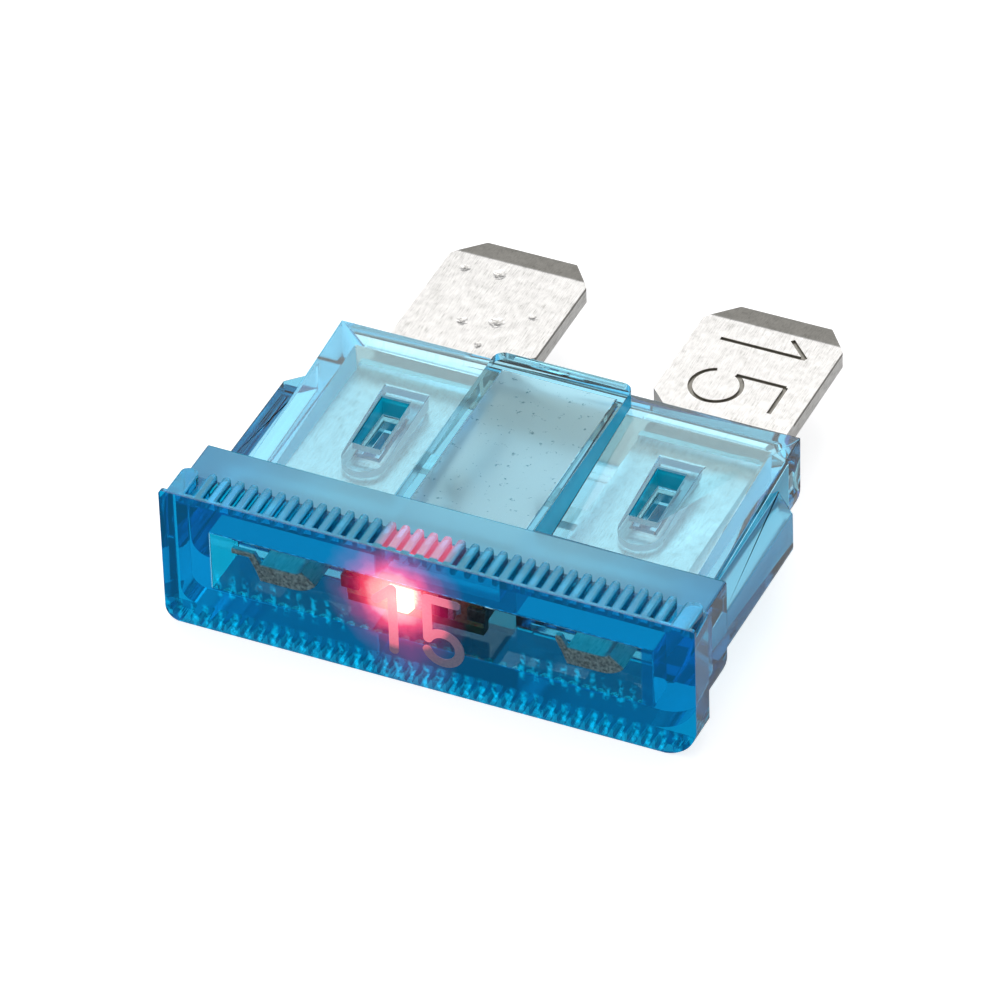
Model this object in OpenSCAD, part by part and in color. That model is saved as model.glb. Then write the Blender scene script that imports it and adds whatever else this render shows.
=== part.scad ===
// Blade fuse for a car's fuse box, regular size, with a light that glows once the fuse has blown.
// It lies on its wide side: X runs across both blades, Y from the gripped head to the blade tips,
// Z up through its thickness. The origin is under the middle of the whole fuse, on the surface it lies on.

/* [Head] */
// Width of the head, which is the width of the fuse
head_w = 19.1; // [18.6:0.1:20]
// Thickness of the head
head_t = 5.4; // [5.2:0.1:6.2]
// Depth of the ribbed grip, front to back
grip_d = 1.45; // [1.2:0.05:1.7]
// Distance from one grip rib to the next
rib_pitch = 0.497; // [0.44:0.001:0.5]
// Number of grip ribs in a row between the two wide end ribs
rib_count = 34; // [24:2:34]
// Width of a grip rib
rib_w = 0.32; // [0.24:0.02:0.34]
// Radius of a rib's upper edges
rib_r = 0.08; // [0.06:0.01:0.12]
// Distance of the wide end ribs from the middle
end_rib_x = 9; // [8.9:0.02:9.04]
// Width of the wide rib at each end of a row
end_rib_w = 0.66; // [0.5:0.02:0.7]
// Width of the plain strip in front of the ribs
lip_d = 0.16; // [0.12:0.02:0.4]
// Width that each side of the grip loses towards its back
grip_taper = 0.15; // [0.05:0.01:0.2]
// Radius of the head's upper long corners
top_r = 0.15; // [0.05:0.05:0.3]
// Radius of the head's lower left long corner
low_left_r = 0.55; // [0.3:0.05:0.8]
// Radius of the head's lower right long corner
low_right_r = 1.3; // [0.8:0.1:1.5]

/* [Shoulder] */
// Width of the smooth shoulder behind the grip
shoulder_w = 18.6; // [18:0.1:18.8]
// Thickness of the shoulder and of the centre block where it starts
shoulder_t = 4.7; // [4.5:0.05:5]
// Distance from the head's front to the back of the shoulder
shoulder_y = 3.15; // [2.9:0.05:3.5]
// Radius of the shoulder's upper long corners
shoulder_top_r = 0.08; // [0.04:0.01:0.15]
// Radius of the lower right long corner of shoulder and panels
shoulder_low_r = 1.7; // [1:0.1:1.8]

/* [Body] */
// Width of the two panels together
body_w = 16.7; // [16.3:0.1:17.2]
// Distance from the head's front to the far end of the panels
body_y = 11.5; // [11:0.1:12]
// Thickness of the panels next to the shoulder
panel_t_near = 2.2; // [2.1:0.05:2.5]
// Thickness of the panels at their far end
panel_t_far = 3.7; // [3.4:0.05:3.9]
// Width of the raised block between the panels
block_w = 5; // [4.6:0.1:5.2]
// Distance from the head's front to the far end of the block
block_y = 11.3; // [10.9:0.1:11.9]
// Thickness of the block at its far end
block_t_far = 4.9; // [4.7:0.05:5]
// Radius of the block's upright far corners
block_r = 0.4; // [0.2:0.05:0.6]
// Width across the two side rails
rail_w = 18.5; // [18:0.1:18.6]
// Thickness of a side rail
rail_t = 2; // [1.6:0.1:2.1]
// Distance from the head's front to the far end of a side rail
rail_y = 9.6; // [9:0.1:10]
// Cut across the rail's far corner
rail_cut = 0.85; // [0.4:0.05:0.85]
// Radius of the rail's lower long edge
rail_r = 0.65; // [0.3:0.05:0.8]

/* [Walls and hollows] */
// Thickness of the panels' walls
wall = 0.65; // [0.5:0.05:0.7]
// Thickness of the wall at the far end, where the blades come out
end_wall = 0.55; // [0.45:0.05:0.8]
// Thickness of the block's upper and lower wall
block_wall = 0.6; // [0.5:0.05:0.8]
// Thickness of the block's side walls
block_side = 0.4; // [0.3:0.05:0.6]
// Width of the hollow in the head
head_hollow_w = 15.9; // [15.5:0.1:16.2]
// Thickness of the head's front wall
front_wall = 0.6; // [0.5:0.02:0.62]
// Height of the hollow in the head
head_hollow_t = 2.4; // [2.2:0.05:2.6]
// Distance from the head's front to the back of its hollow
head_hollow_y = 2.7; // [2.4:0.05:2.8]
// Air between the left blade's outer side and the side of the hollow
blade_side_gap = 0.17; // [0.08:0.01:0.25]

/* [Stake pockets] */
// Distance of each pocket from the middle
pocket_x = 5; // [4.8:0.1:5.1]
// Distance from the head's front to the middle of the pockets
pocket_y = 7.4; // [7.2:0.1:7.6]
// Width of a pocket
pocket_w = 1; // [0.9:0.05:1.1]
// Length of a pocket
pocket_l = 2.35; // [2:0.05:2.5]
// Depth of a pocket at its middle
pocket_d = 0.7; // [0.5:0.05:0.75]
// How far the stake under a pocket stays inside the pocket's outline, all round
stake_inset = 0.1; // [0.06:0.01:0.14]
// Wall left round a pocket on the inside
boss_wall = 0.28; // [0.2:0.02:0.36]
// Length of the boss beyond each end of the pocket
boss_end = 0.9; // [0.6:0.05:1.1]

/* [Blades] */
// Width of a blade
blade_w = 5.1; // [5:0.05:5.3]
// Thickness of a blade
blade_t = 0.65; // [0.6:0.01:0.7]
// Middle of the left blade, measured from the middle of the fuse
blade_left_x = -4.88; // [-5:0.02:-4.8]
// Middle of the right blade, measured from the middle of the fuse
blade_right_x = 4.55; // [4.5:0.02:4.7]
// Distance from the head's front to the blade tips
tip_y = 19.3; // [18.5:0.1:20]
// Width of the cut across a tip corner
tip_cut_x = 0.88; // [0.6:0.02:1.1]
// Length of the cut across a tip corner
tip_cut_y = 1.2; // [0.8:0.05:1.4]
// Length of the bevel on the tip
tip_bevel = 1; // [0.6:0.05:1.3]
// Thickness left at the tip's edge
tip_t = 0.33; // [0.25:0.01:0.45]
// Width that the blade's inner side loses where it enters the housing
neck_cut = 0.8; // [0.5:0.05:0.9]
// Distance from the head's front to where that narrowing starts
neck_y = 13.9; // [13.4:0.1:14.2]
// Distance from the head's front to the blade's shoulder inside the head
shank_y = 3.2; // [3:0.05:3.5]
// Air left all round a blade in its slot
slot_gap = 0.06; // [0.03:0.01:0.08]
// Air left between a blade and the boss of its stake pocket
stake_gap = 0.05; // [0.02:0.01:0.08]
// Air left between the stake and the hole through the blade
stake_fit = 0.1; // [0.05:0.01:0.15]

/* [Test tabs] */
// Width of the tab that reaches towards the head's front, without its curl
tab_w = 1.2; // [1:0.05:1.3]
// Middle of the left tab, measured from the middle of the fuse
tab_left_x = -5.55; // [-5.7:0.05:-5.3]
// Middle of the right tab, measured from the middle of the fuse
tab_right_x = 5.45; // [5.3:0.05:5.6]
// Distance from the head's front to the end of a tab
tab_y = 0.65; // [0.63:0.01:0.8]
// Outer radius of the curl at the tab's right side
curl_r = 1.05; // [0.9:0.05:1.1]
// Angle that the curl turns through
curl_angle = 51; // [40:1:60]
// Height of the thin lug at the tab's left side
lug_h = 0.4; // [0.2:0.05:0.5]
// Distance that the lug leans out while it rises
lug_lean = 0.2; // [0.1:0.02:0.25]
// Length of the left lug's level end
lug_l = 0.8; // [0.5:0.05:0.95]
// Thickness of that lug
lug_t = 0.18; // [0.12:0.02:0.24]

/* [Blown link] */
// Distance from the head's front to the middle of the link's stub
link_y = 6.5; // [6.2:0.1:6.8]
// Width of the stub
link_w = 0.8; // [0.5:0.05:1]
// Thickness of the stub
link_t = 0.32; // [0.25:0.01:0.4]
// Length of the stub from the blade to the middle of its melted end
link_l = 1.3; // [0.9:0.05:1.4]
// Radius of the melted end
link_r = 0.48; // [0.4:0.02:0.55]

/* [Rating marks] */
// Depth of the digits pressed into the right blade
stamp_depth = 0.09; // [0.05:0.01:0.12]
// Width of the pressed lines
stamp_line = 0.16; // [0.1:0.01:0.2]
// Height of the pressed digits, which stand across the blade
stamp_h = 3.1; // [2.8:0.05:3.2]
// Width of the pressed digits
stamp_w = 1.75; // [1.5:0.05:1.8]
// Distance from the head's front to the pressed one's stem
stamp_y = 17.25; // [17.1:0.05:17.3]
// Distance from the pressed one's stem to the pressed five
stamp_step = 1.56; // [1.5:0.02:1.6]
// Width of the pressed one's flag
stamp_flag = 0.8; // [0.6:0.05:0.9]
// Height of the printed digits on the head's front
print_h = 2.55; // [2.2:0.05:2.6]
// Width of the printed digits
print_w = 1.2; // [1:0.05:1.3]
// Width of the printed lines
print_line = 0.33; // [0.25:0.01:0.4]
// Distance from the middle of the fuse to the printed one's stem
print_x = -1.18; // [-1.4:0.02:-1]
// Distance from the printed one's stem to the left side of the printed five
print_step = 1.17; // [1.1:0.01:1.3]
// Width of the printed one's flag
print_flag = 0.6; // [0.4:0.05:0.7]
// Height of the middle of the printed digits above the middle of the head
print_z = -0.12; // [-0.2:0.02:0.1]
// Thickness of the ink
print_t = 0.03; // [0.02:0.01:0.04]
// Direction in which the bowl of a five opens, turned from its right side
bowl_open = 152; // [145:1:160]
// Direction in which the lower end of a five's bowl stops, turned the same way
bowl_end = 200; // [190:1:210]
// Length of a five's bar, as a share of its width
bar_share = 0.92; // [0.8:0.01:1]

/* [Indicator] */
// Length of the circuit board
board_l = 4.9; // [4.6:0.1:5.2]
// Height of the circuit board
board_h = 1.8; // [1.6:0.05:1.85]
// Thickness of the circuit board
board_t = 0.4; // [0.3:0.05:0.5]
// Middle of the board, measured from the middle of the fuse
board_x = -0.95; // [-1.1:0.05:-0.8]
// Distance from the head's front to the face of the board
board_y = 1.5; // [1.45:0.01:1.7]
// Thickness of the copper pads
pad_t = 0.035; // [0.02:0.005:0.05]
// Height of the copper pads
pad_h = 1.1; // [0.9:0.05:1.2]
// Middle of the light, measured from the middle of the fuse
led_x = -1.29; // [-1.4:0.01:-1.28]
// Length of the light
led_l = 1.4; // [1.2:0.05:1.4]
// Height of the light
led_h = 0.8; // [0.7:0.05:0.9]
// Thickness of the light's base plate
led_base_t = 0.2; // [0.15:0.01:0.25]
// Length of each metal end of the light
led_end_l = 0.26; // [0.2:0.02:0.3]
// Thickness of the light's clear cap
led_cap_t = 0.35; // [0.3:0.01:0.4]
// Length that each end of the cap loses towards its face
cap_slope = 0.09; // [0.05:0.01:0.12]
// Width of the glowing die
die_w = 0.3; // [0.2:0.02:0.35]
// Thickness of the glowing die
die_t = 0.12; // [0.08:0.01:0.15]
// Height of the light above the middle of the board
led_z = 0.08; // [0:0.02:0.14]
// Middle of the resistor, measured from the middle of the fuse
res_x = 0.15; // [0.14:0.01:0.3]
// Length of the resistor
res_l = 0.9; // [0.8:0.05:0.9]
// Height of the resistor
res_h = 0.5; // [0.4:0.05:0.6]
// Thickness of the resistor
res_t = 0.32; // [0.25:0.01:0.36]
// Length of each metal end of the resistor
res_cap = 0.2; // [0.15:0.01:0.25]
// Thickness of the metal on the resistor's ends
res_cap_t = 0.03; // [0.02:0.005:0.04]
// Thickness of the resistor's dark film
film_t = 0.02; // [0.01:0.005:0.03]
// Height of a solder joint on the board
solder_h = 0.12; // [0.08:0.01:0.13]
// How far a solder joint stays inside the ends of the part's side
solder_inset = 0.06; // [0.03:0.01:0.1]
// Thickness of a lead to a blade
lead_t = 0.15; // [0.1:0.01:0.2]
// Height of a lead
lead_h = 0.5; // [0.3:0.05:0.6]
// Thickness of a lead's foot, which stands against the blade
foot_t = 0.22; // [0.18:0.01:0.26]
// Length along which a lead lies on its pad, and on its blade
lead_l = 0.5; // [0.4:0.05:0.55]

/* [Hidden] */

// How finely round surfaces are drawn
fine = 48;
// Overlap that makes cuts and joins clean
eps = 0.01;
// How far a cutting shape reaches past what it cuts
over = 1;
// How far the hollows of head and body run into each other
hollow_step = 0.2;

// Heights above the middle plane of the fuse
half_head = head_t / 2;
half_shoulder = shoulder_t / 2;
half_blade = blade_t / 2;
half_hollow = head_hollow_t / 2;
chamber_half_w = block_w / 2 - block_side;
// Face of the copper, on which the light and the resistor stand
pad_y = board_y - pad_t;
// The board's ends, and where the metal ends of light and resistor stop
board_left = board_x - board_l / 2;
board_right = board_x + board_l / 2;
led_left = led_x - led_l / 2 + led_end_l;
led_right = led_x + led_l / 2 - led_end_l;
res_left = res_x - res_l / 2 + res_cap;
res_right = res_x + res_l / 2 - res_cap;
// Width of the hollow behind the panels, which both blades lie in
body_hollow_w = blade_w - 2 * blade_left_x + 2 * blade_side_gap;
// Where the link's stub leaves each blade
left_inner_x = blade_left_x + blade_w / 2 - neck_cut;
right_inner_x = blade_right_x - blade_w / 2 + neck_cut;
// Hole through each blade that the stake fills
stake_w = pocket_w - 2 * stake_inset;
stake_l = pocket_l - 2 * stake_inset;

// Height of a panel's face above the middle plane, at a distance from the head's front
function panel_z(y) = panel_t_near / 2
    + (panel_t_far - panel_t_near) / 2 * (y - shoulder_y) / (body_y - shoulder_y);

// Puts the fuse on the surface it lies on, with the origin under its middle
module placed() {
    translate([0, -(tip_y - print_t) / 2, half_head]) children();
}

// Stretches a drawing of the cross-section from one distance behind the head's front to another
module along_y(from_y, to_y) {
    translate([0, to_y, 0]) rotate([90, 0, 0]) linear_extrude(to_y - from_y) children();
}

// Cross-section with a radius of its own at each of the three kinds of corner
module section(w, t, r_top, r_left, r_right) {
    half_w = w / 2;
    half_t = t / 2;
    difference() {
        translate([-half_w, -half_t]) square([w, t]);
        for (s = [-1, 1]) round_off(s * half_w, half_t, r_top, s, 1);
        round_off(-half_w, -half_t, r_left, -1, -1);
        round_off(half_w, -half_t, r_right, 1, -1);
    }
}

// Waste outside a round corner whose square corner is at x, z and points to sx, sz
module round_off(x, z, r, sx, sz) {
    difference() {
        translate([x - sx * r, z - sz * r]) pointed(sx, sz) square([r + over, r + over]);
        translate([x - sx * r, z - sz * r]) circle(r, $fn = fine);
    }
}

// Mirrors a drawing made towards +X and +Z so that it points to sx, sz
module pointed(sx, sz) {
    mirror([sx < 0 ? 1 : 0, 0]) mirror([0, sz < 0 ? 1 : 0]) children();
}

// Outline of the head
module head_section() {
    section(head_w, head_t, top_r, low_left_r, low_right_r);
}

// Front view of one rib from the middle plane up to its rounded crest
module rib_front(x, w) {
    translate([x - w / 2, 0]) square([w, half_head - rib_r]);
    translate([x - w / 2 + rib_r, 0]) square([w - 2 * rib_r, half_head]);
    for (s = [-1, 1]) translate([x + s * (w / 2 - rib_r), half_head - rib_r]) circle(rib_r, $fn = fine);
}

// Plan of one rib, which runs from the plain strip to a round end
module rib_plan(x, w) {
    translate([x - w / 2, 0]) square([w, grip_d - w / 2]);
    translate([x, grip_d - w / 2]) circle(w / 2, $fn = fine);
}

// Places of the narrow ribs
rib_places = [for (i = [0 : rib_count - 1]) (i - (rib_count - 1) / 2) * rib_pitch];

// Ribs of both rows
module ribs() {
    intersection() {
        along_y(lip_d - eps, grip_d + over) intersection() {
            head_section();
            for (side = [0, 1]) mirror([0, side]) {
                for (x = rib_places) rib_front(x, rib_w);
                for (s = [-1, 1]) rib_front(s * end_rib_x, end_rib_w);
            }
        }
        translate([0, 0, -head_t]) linear_extrude(2 * head_t) {
            for (x = rib_places) rib_plan(x, rib_w);
            for (s = [-1, 1]) rib_plan(s * end_rib_x, end_rib_w);
        }
    }
}

// Head: the plain strip, the ground between the ribs, and the ribs
module head() {
    intersection() {
        union() {
            along_y(0, lip_d) head_section();
            along_y(lip_d - eps, grip_d) intersection() {
                head_section();
                square([head_w, shoulder_t], center = true);
            }
        }
        translate([0, 0, -head_t]) linear_extrude(2 * head_t) polygon([
            [-head_w / 2, 0],
            [head_w / 2, 0],
            [head_w / 2 - grip_taper, grip_d],
            [grip_taper - head_w / 2, grip_d]]);
    }
    ribs();
}

// Solid that slopes like the panels, drawn in a side view and stretched across a width
module sloped(w, from_y, to_y, inset) {
    translate([-w / 2, 0, 0]) rotate([90, 0, 90]) linear_extrude(w) polygon([
        [from_y, panel_z(from_y) - inset],
        [to_y, panel_z(to_y) - inset],
        [to_y, inset - panel_z(to_y)],
        [from_y, inset - panel_z(from_y)]]);
}

// The two panels
module panels() {
    intersection() {
        sloped(body_w, shoulder_y - eps, body_y, 0);
        along_y(shoulder_y - over, body_y + over) section(body_w, panel_t_far, eps, eps, shoulder_low_r);
    }
}

// The raised block between the panels, which leans out a little towards its far end
module block() {
    intersection() {
        translate([-block_w / 2, 0, 0]) rotate([90, 0, 90]) linear_extrude(block_w) polygon([
            [shoulder_y - eps, half_shoulder],
            [block_y, block_t_far / 2],
            [block_y, -block_t_far / 2],
            [shoulder_y - eps, -half_shoulder]]);
        translate([0, 0, -head_t]) linear_extrude(2 * head_t) difference() {
            translate([-block_w / 2, 0]) square([block_w, block_y]);
            for (s = [-1, 1]) round_off(s * block_w / 2, block_y, block_r, s, 1);
        }
    }
}

// Side rail, on the side that sx names
module rail(sx) {
    intersection() {
        along_y(shoulder_y - eps, rail_y) difference() {
            translate([sx > 0 ? 0 : -rail_w / 2, -rail_t / 2]) square([rail_w / 2, rail_t]);
            round_off(sx * rail_w / 2, -rail_t / 2, rail_r, sx, -1);
        }
        translate([0, 0, -head_t]) linear_extrude(2 * head_t) polygon([
            [0, 0],
            [sx * rail_w / 2, 0],
            [sx * rail_w / 2, rail_y - rail_cut],
            [sx * (rail_w / 2 - rail_cut), rail_y],
            [0, rail_y]]);
    }
}

// Hollows: the head's, the panels' and the chamber in the block
module hollows() {
    far_y = body_y - end_wall;
    translate([-head_hollow_w / 2, front_wall, -half_hollow])
        cube([head_hollow_w, head_hollow_y - front_wall, head_hollow_t]);
    sloped(body_hollow_w, head_hollow_y - hollow_step, far_y, wall);
    translate([-chamber_half_w, head_hollow_y - hollow_step, 0]) rotate([90, 0, 90])
        linear_extrude(2 * chamber_half_w) polygon([
            [0, half_shoulder - block_wall],
            [block_y - end_wall - head_hollow_y + hollow_step, block_t_far / 2 - block_wall],
            [block_y - end_wall - head_hollow_y + hollow_step, block_wall - block_t_far / 2],
            [0, block_wall - half_shoulder]]);
}

// Slot through the far wall for one blade
module blade_slot(x) {
    w = blade_w - neck_cut + 2 * slot_gap;
    inner = x < 0 ? blade_left_x - blade_w / 2 - slot_gap : right_inner_x - slot_gap;
    translate([inner, body_y - end_wall - over, -half_blade - slot_gap])
        cube([w, end_wall + 2 * over, blade_t + 2 * slot_gap]);
}

// Post that fills the hollow round one stake pocket, above and below the blade, with a round front
module stake_boss(x) {
    bw = pocket_w + 2 * boss_wall;
    bl = pocket_l + 2 * boss_end;
    for (s = [-1, 1]) translate([x, pocket_y, s > 0 ? half_blade + stake_gap : -half_shoulder])
        linear_extrude(half_shoulder - half_blade - stake_gap) {
            translate([-bw / 2, (bw - bl) / 2]) square([bw, bl - bw / 2]);
            translate([0, (bw - bl) / 2]) circle(bw / 2, $fn = fine);
        }
    translate([x - stake_w / 2, pocket_y - stake_l / 2, -half_shoulder]) cube([stake_w, stake_l, shoulder_t]);
}

// The boss, kept inside the panels' faces
module stake_fill() {
    intersection() {
        for (s = [-1, 1]) stake_boss(s * pocket_x);
        sloped(body_w, shoulder_y, body_y - end_wall / 2, wall / 2);
    }
}

// Pocket that the staking tool left, above and below
module stake_pocket(x) {
    floor_z = panel_z(pocket_y) - pocket_d;
    for (s = [-1, 1]) translate([x - pocket_w / 2, pocket_y - pocket_l / 2, s > 0 ? floor_z : -floor_z - half_head])
        cube([pocket_w, pocket_l, half_head]);
}

// Clear moulding that holds everything
module housing() {
    color("deepskyblue", 0.5) placed() difference() {
        union() {
            difference() {
                union() {
                    head();
                    along_y(grip_d - eps, shoulder_y)
                        section(shoulder_w, shoulder_t, shoulder_top_r, low_left_r, shoulder_low_r);
                    panels();
                    block();
                    for (s = [-1, 1]) rail(s);
                }
                hollows();
                for (s = [-1, 1]) blade_slot(s);
            }
            stake_fill();
        }
        for (s = [-1, 1]) stake_pocket(s * pocket_x);
    }
}

// Flat outline of a blade. outer and inner are its two sides, and s points from the middle to the outer side
module blade_outline(outer, inner, s) {
    polygon([
        [outer, shank_y],
        [outer, tip_y - tip_cut_y],
        [outer - s * tip_cut_x, tip_y],
        [inner + s * tip_cut_x, tip_y],
        [inner, tip_y - tip_cut_y],
        [inner, neck_y],
        [inner + s * neck_cut, neck_y - neck_cut],
        [inner + s * neck_cut, shank_y]]);
}

// Side view of a blade, which thins towards its tip
module blade_side() {
    polygon([
        [0, -half_blade],
        [tip_y - tip_bevel, -half_blade],
        [tip_y, -tip_t / 2],
        [tip_y, tip_t / 2],
        [tip_y - tip_bevel, half_blade],
        [0, half_blade]]);
}

// Test tab, with a curl at its right side and a thin lug at the left of its end. The lug may end level
module test_tab(x, level) {
    left = x - tab_w / 2;
    right = x + tab_w / 2;
    along_y(tab_y, shank_y + eps) translate([left, -half_blade]) square([tab_w, blade_t]);
    along_y(tab_y, head_hollow_y - hollow_step) translate([right, curl_r - half_blade]) curl();
    along_y(tab_y, tab_y + lug_t) polygon([
        [left + eps, -half_blade],
        [left + eps, half_blade],
        [left - lug_lean, half_blade + lug_h],
        [left - lug_lean - lug_t, half_blade + lug_h],
        [left - lug_lean - lug_t, half_blade + lug_h - lug_t],
        [left - lug_t, half_blade - lug_t]]);
    if (level > 0) along_y(tab_y, tab_y + lug_t)
        translate([left - lug_lean - level, half_blade + lug_h - lug_t]) square([level, lug_t]);
}

// Section of the curl, a part of a ring about the origin
module curl() {
    reach = 2 * curl_r;
    end_x = reach * sin(curl_angle);
    intersection() {
        difference() {
            circle(curl_r, $fn = fine);
            circle(curl_r - blade_t, $fn = fine);
        }
        polygon([[-eps, 0], [-eps, -reach], [end_x, -reach], [end_x, -reach * cos(curl_angle)]]);
    }
}

// Stub of the blown link, which ends in a melted bead
module link_stub(from_x, s) {
    translate([from_x - (s > 0 ? link_l : 0), link_y - link_w / 2, -link_t / 2])
        cube([link_l, link_w, link_t]);
    translate([from_x - s * link_l, link_y, 0]) sphere(link_r, $fn = fine);
}

// Blade with its tab and stub. level is the length of the lug's level end, and s points outwards
module blade(x, tab_x, level, s) {
    outer = x + s * blade_w / 2;
    inner = x - s * blade_w / 2;
    difference() {
        union() {
            intersection() {
                translate([0, 0, -blade_t]) linear_extrude(2 * blade_t) blade_outline(outer, inner, s);
                translate([x - blade_w, 0, 0]) rotate([90, 0, 90]) linear_extrude(2 * blade_w) blade_side();
            }
            test_tab(tab_x, level);
            link_stub(inner + s * (neck_cut + eps), s);
        }
        translate([s * pocket_x - stake_w / 2 - stake_fit, pocket_y - stake_l / 2 - stake_fit, -blade_t])
            cube([stake_w + 2 * stake_fit, stake_l + 2 * stake_fit, 2 * blade_t]);
    }
}

// Straight pressed or printed line between two points of a flat drawing
module stroke(a, b, line, round_ends) {
    d = [b[0] - a[0], b[1] - a[1]];
    translate(a) rotate(atan2(d[1], d[0])) translate([0, -line / 2]) square([norm(d), line]);
    if (round_ends) for (p = [a, b]) translate(p) circle(line / 2, $fn = fine);
}

// The digit one, standing on the origin, h tall
module digit_one(h, flag, line, round_ends) {
    stroke([0, 0], [0, h], line, round_ends);
    stroke([0, h], [-flag, h - flag], line, round_ends);
}

// The digit five with its lower left corner at the origin, h tall and w wide
module digit_five(h, w, line, round_ends) {
    r = w / 2;
    // Where the bowl starts, under the left end of the bar, and where it ends
    start = [r + r * cos(bowl_open), r + r * sin(bowl_open)];
    end = [r + r * cos(bowl_end), r + r * sin(bowl_end)];
    stroke([start[0], h], [w * bar_share, h], line, round_ends);
    stroke([start[0], h], start, line, round_ends);
    difference() {
        translate([r, r]) circle(r + line / 2, $fn = fine);
        translate([r, r]) circle(r - line / 2, $fn = fine);
        // Mouth of the bowl
        translate([r, r]) polygon([
            [0, 0],
            [2 * w * cos(bowl_open), 2 * w * sin(bowl_open)],
            [2 * w * cos(bowl_end), 2 * w * sin(bowl_end)]]);
    }
    if (round_ends) translate(end) circle(line / 2, $fn = fine);
}

// Fifteen pressed into the right blade, with its feet towards the middle of the fuse
module pressed_digits() {
    foot_x = blade_right_x - stamp_h / 2;
    translate([foot_x, 0, half_blade - stamp_depth]) linear_extrude(stamp_depth + over) {
        translate([0, stamp_y]) rotate(-90) digit_one(stamp_h, stamp_flag, stamp_line, false);
        translate([0, stamp_y - stamp_step]) rotate(-90) digit_five(stamp_h, stamp_w, stamp_line, false);
    }
}

module blade_left() {
    color("gainsboro") placed() blade(blade_left_x, tab_left_x, lug_l, -1);
}

module blade_right() {
    color("gainsboro") placed() difference() {
        blade(blade_right_x, tab_right_x, 0, 1);
        pressed_digits();
    }
}

// Small block on the board's face, at x and z, from distance y forwards
module chip(x, z, y, l, h, t) {
    translate([x - l / 2, y - t, z - h / 2]) cube([l, t, h]);
}

// Circuit board that carries the light and its resistor
module circuit_board() {
    color("darkgreen") placed() chip(board_x, 0, board_y + board_t, board_l, board_h, board_t);
}

// Copper pad on the board's face between two places
module pad(from_x, to_x) {
    color("goldenrod") placed() chip((from_x + to_x) / 2, 0, board_y, to_x - from_x, pad_h, pad_t);
}

module pad_left() {
    pad(board_left, led_left);
}

module pad_middle() {
    pad(led_right, res_left);
}

module pad_right() {
    pad(res_right, board_right);
}

// Base plate of the light
module led_base() {
    color("ivory") placed() chip(led_x, led_z, pad_y, led_l - 2 * led_end_l, led_h, led_base_t);
}

// Metal ends of the light
module led_ends() {
    color("silver") placed() for (s = [-1, 1])
        chip(led_x + s * (led_l - led_end_l) / 2, led_z, pad_y, led_end_l, led_h, led_base_t);
}

// Die of the light
module led_die() {
    color("orangered") placed() chip(led_x, led_z, pad_y - led_base_t, die_w, die_w, die_t);
}

// Clear cap over the die, with sloping ends
module led_cap() {
    l = led_l - 2 * led_end_l;
    color("mistyrose", 0.6) placed() difference() {
        translate([led_x, pad_y - led_base_t, led_z - led_h / 2]) linear_extrude(led_h) polygon([
            [-l / 2, 0],
            [l / 2, 0],
            [l / 2 - cap_slope, -led_cap_t],
            [cap_slope - l / 2, -led_cap_t]]);
        chip(led_x, led_z, pad_y - led_base_t + eps, die_w, die_w, die_t + eps);
    }
}

// Ceramic body of the resistor
module resistor_body() {
    color("white") placed() chip(res_x, 0, pad_y - res_cap_t, res_l - 2 * res_cap_t, res_h, res_t - 2 * res_cap_t);
}

// Dark film on the resistor
module resistor_film() {
    color("black") placed() chip(res_x, 0, pad_y - res_t + res_cap_t, res_l - 2 * res_cap, res_h, film_t);
}

// Metal ends of the resistor, wrapped round the ceramic
module resistor_ends() {
    color("silver") placed() difference() {
        for (s = [-1, 1]) chip(res_x + s * (res_l - res_cap) / 2, 0, pad_y, res_cap, res_h, res_t);
        chip(res_x, 0, pad_y - res_cap_t, res_l - 2 * res_cap_t, res_h + over, res_t - 2 * res_cap_t);
    }
}

// Wedge of solder against the end of a part, s pointing away from it
module solder_joint(x, z, h, s) {
    translate([x, pad_y, z - h / 2]) linear_extrude(h) polygon([[0, 0], [s * solder_h, 0], [0, -solder_h]]);
}

// Solder at both ends of the light and of the resistor
module solder_joints() {
    color("lightgray") placed() for (s = [-1, 1]) {
        solder_joint(led_x + s * led_l / 2, led_z, led_h - 2 * solder_inset, s);
        solder_joint(res_x + s * res_l / 2, 0, res_h - 2 * solder_inset, s);
    }
}

// Tinned strip that lies on a pad, passes the board's end and stands against the blade's shoulder
module lead(inner_x, s) {
    pad_x = board_x + s * (board_l / 2 - lead_l);
    // Outer side of the strip where it passes the board's end
    end_x = board_x + s * (board_l / 2 + lead_t);
    // End of the foot, which starts at the board's end or at the blade, whichever lies further out
    foot_x = s * (max(s * inner_x, s * end_x) + lead_l);
    // Front of the foot, which stands against the blade's shoulder
    foot_y = shank_y - foot_t;
    translate([0, 0, -lead_h / 2]) linear_extrude(lead_h) polygon([
        [pad_x, pad_y],
        [pad_x, pad_y - lead_t],
        [end_x, pad_y - lead_t],
        [end_x, foot_y],
        [foot_x, foot_y],
        [foot_x, shank_y],
        [end_x - s * lead_t, shank_y],
        [end_x - s * lead_t, pad_y]]);
}

module lead_left() {
    color("silver") placed() lead(left_inner_x, -1);
}

module lead_right() {
    color("silver") placed() lead(right_inner_x, 1);
}

// Ink on the head's front: a plain fifteen
module rating_digits() {
    color("lightpink") placed() translate([0, 0, print_z - print_h / 2]) rotate([90, 0, 0]) linear_extrude(print_t) {
        translate([print_x, 0]) digit_one(print_h, print_flag, print_line, true);
        translate([print_x + print_step, 0]) digit_five(print_h, print_w, print_line, true);
    }
}

housing();
blade_left();
blade_right();
circuit_board();
pad_left();
pad_middle();
pad_right();
led_base();
led_ends();
led_die();
led_cap();
resistor_body();
resistor_film();
resistor_ends();
solder_joints();
lead_left();
lead_right();
rating_digits();
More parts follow.
